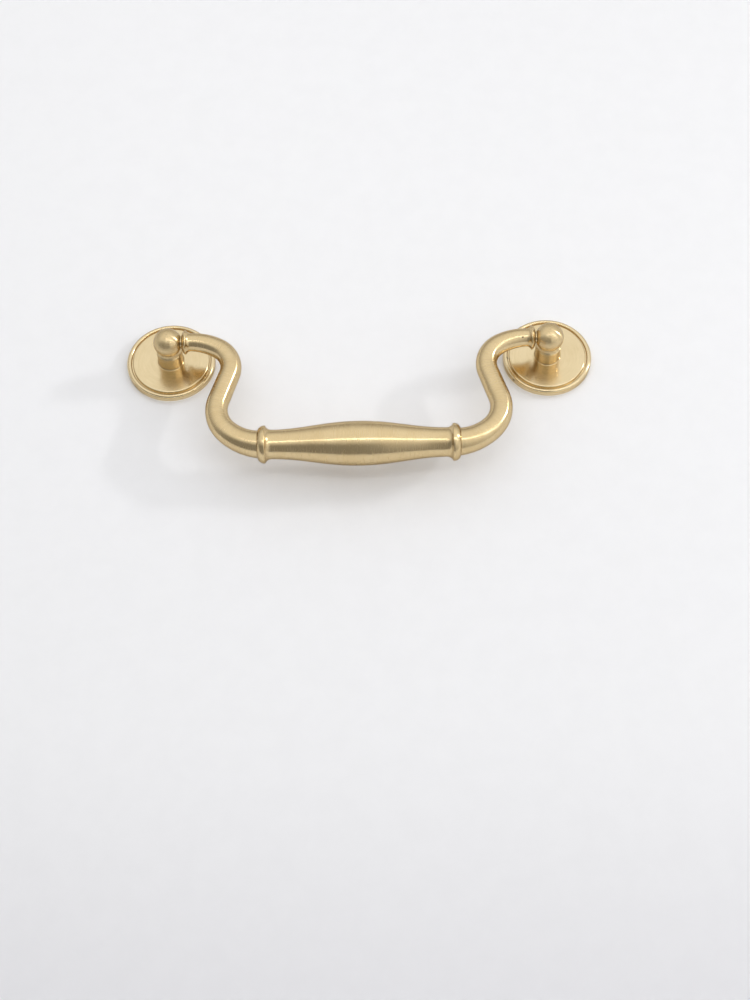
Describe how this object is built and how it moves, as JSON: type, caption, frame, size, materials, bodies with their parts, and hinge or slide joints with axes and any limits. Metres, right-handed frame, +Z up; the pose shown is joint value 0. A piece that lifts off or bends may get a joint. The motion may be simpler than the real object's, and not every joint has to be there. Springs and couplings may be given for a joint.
{
  "type": "drop pull",
  "caption": "Brass drop pull: a bail with S-shaped arms and a turned grip hangs by its pins from ball-headed posts on round rosettes, and swings out to open a drawer or door.",
  "frame": {"origin": "midway between the two screw holes, on the plane of the drawer front", "axes": "+X to the right along the pin axis, +Y into the drawer front, +Z up; the bail hangs towards -Z and the pull stands out towards -Y"},
  "size_m": [0.158, 0.0205, 0.063],
  "materials": {
    "bail_brass": "satin brushed",
    "post_brass": "turned and polished",
    "rosette_brass": "turned, circular brushed"
  },
  "bodies": {
    "mounting": {"left_post": "post_brass", "right_post": "post_brass", "left_rosette": "rosette_brass", "right_rosette": "rosette_brass"},
    "bail": {"bail": "bail_brass"}
  },
  "joints": [
    {"name": "bail_swing", "type": "hinge", "parent": "mounting", "child": "bail", "pos_m": [0, -0.0132, 0], "axis": [-1, 0, 0], "range_deg": [-8, 188]}
  ]
}
